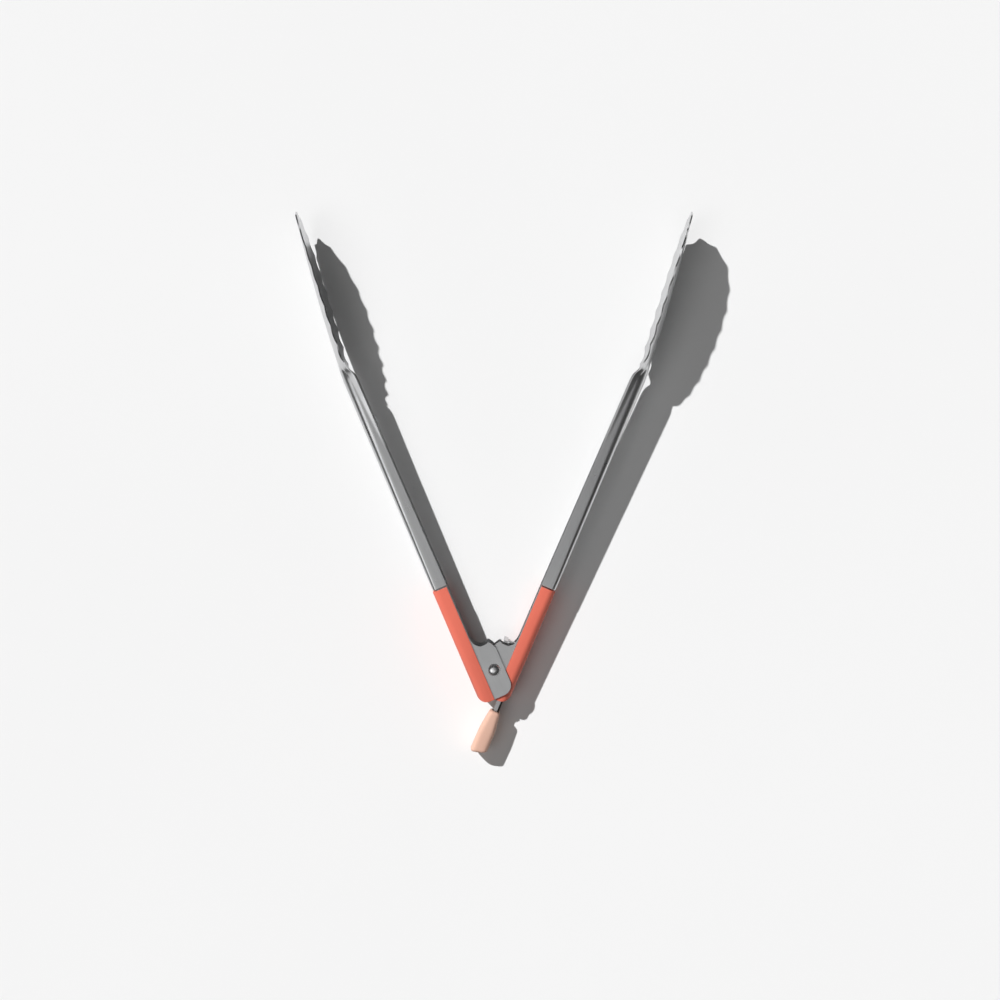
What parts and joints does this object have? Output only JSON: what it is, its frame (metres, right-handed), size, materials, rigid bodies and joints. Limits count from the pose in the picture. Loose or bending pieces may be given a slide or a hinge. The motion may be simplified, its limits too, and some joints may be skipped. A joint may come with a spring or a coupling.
{
  "type": "spring loaded kitchen tongs",
  "caption": "Spring loaded kitchen tongs: hinged channel arms, scalloped dished paddles, moulded grips and a pull-tab lock.",
  "frame": {"origin": "bottom centre of the open tongs' bounding box, as they lie on their side", "axes": "+Z along the hinge axis, upwards; +Y from the hinge towards the tips; +X across the open V, from the outer arm to the inner arm"},
  "size_m": [0.2286, 0.3138, 0.0413],
  "materials": {
    "stainless_sheet": "satin rolled stainless sheet",
    "polished_rivet": "polished",
    "spring_wire": "drawn wire",
    "grip_coral": "matt moulded silicone",
    "tab_peach": "matt moulded silicone",
    "washer_nylon": "natural nylon"
  },
  "bodies": {
    "outer_arm": {"outer_arm": "stainless_sheet", "outer_grip": "grip_coral", "pivot_rivet": "polished_rivet", "rivet_cap": "polished_rivet", "spacer_tube": "stainless_sheet", "upper_washer": "washer_nylon", "lower_washer": "washer_nylon", "torsion_spring": "spring_wire"},
    "inner_arm": {"inner_arm": "stainless_sheet", "inner_grip": "grip_coral", "guide_rivet": "polished_rivet"},
    "lock_slider": {"lock_slider": "stainless_sheet", "pull_tab": "tab_peach"}
  },
  "joints": [
    {"name": "arm_hinge", "type": "hinge", "parent": "outer_arm", "child": "inner_arm", "pos_m": [0, -0.10721, 0.02065], "axis": [0, 0, 1], "range_deg": [0, 46.4], "stiffness_Nm_per_rad": 0.4, "springref_deg": -45.84, "deforming": ["torsion_spring"]},
    {"name": "lock_slide", "type": "slide", "parent": "inner_arm", "child": "lock_slider", "axis": [-0.3907, -0.9205, 0], "range_m": [0, 0.0016]}
  ]
}
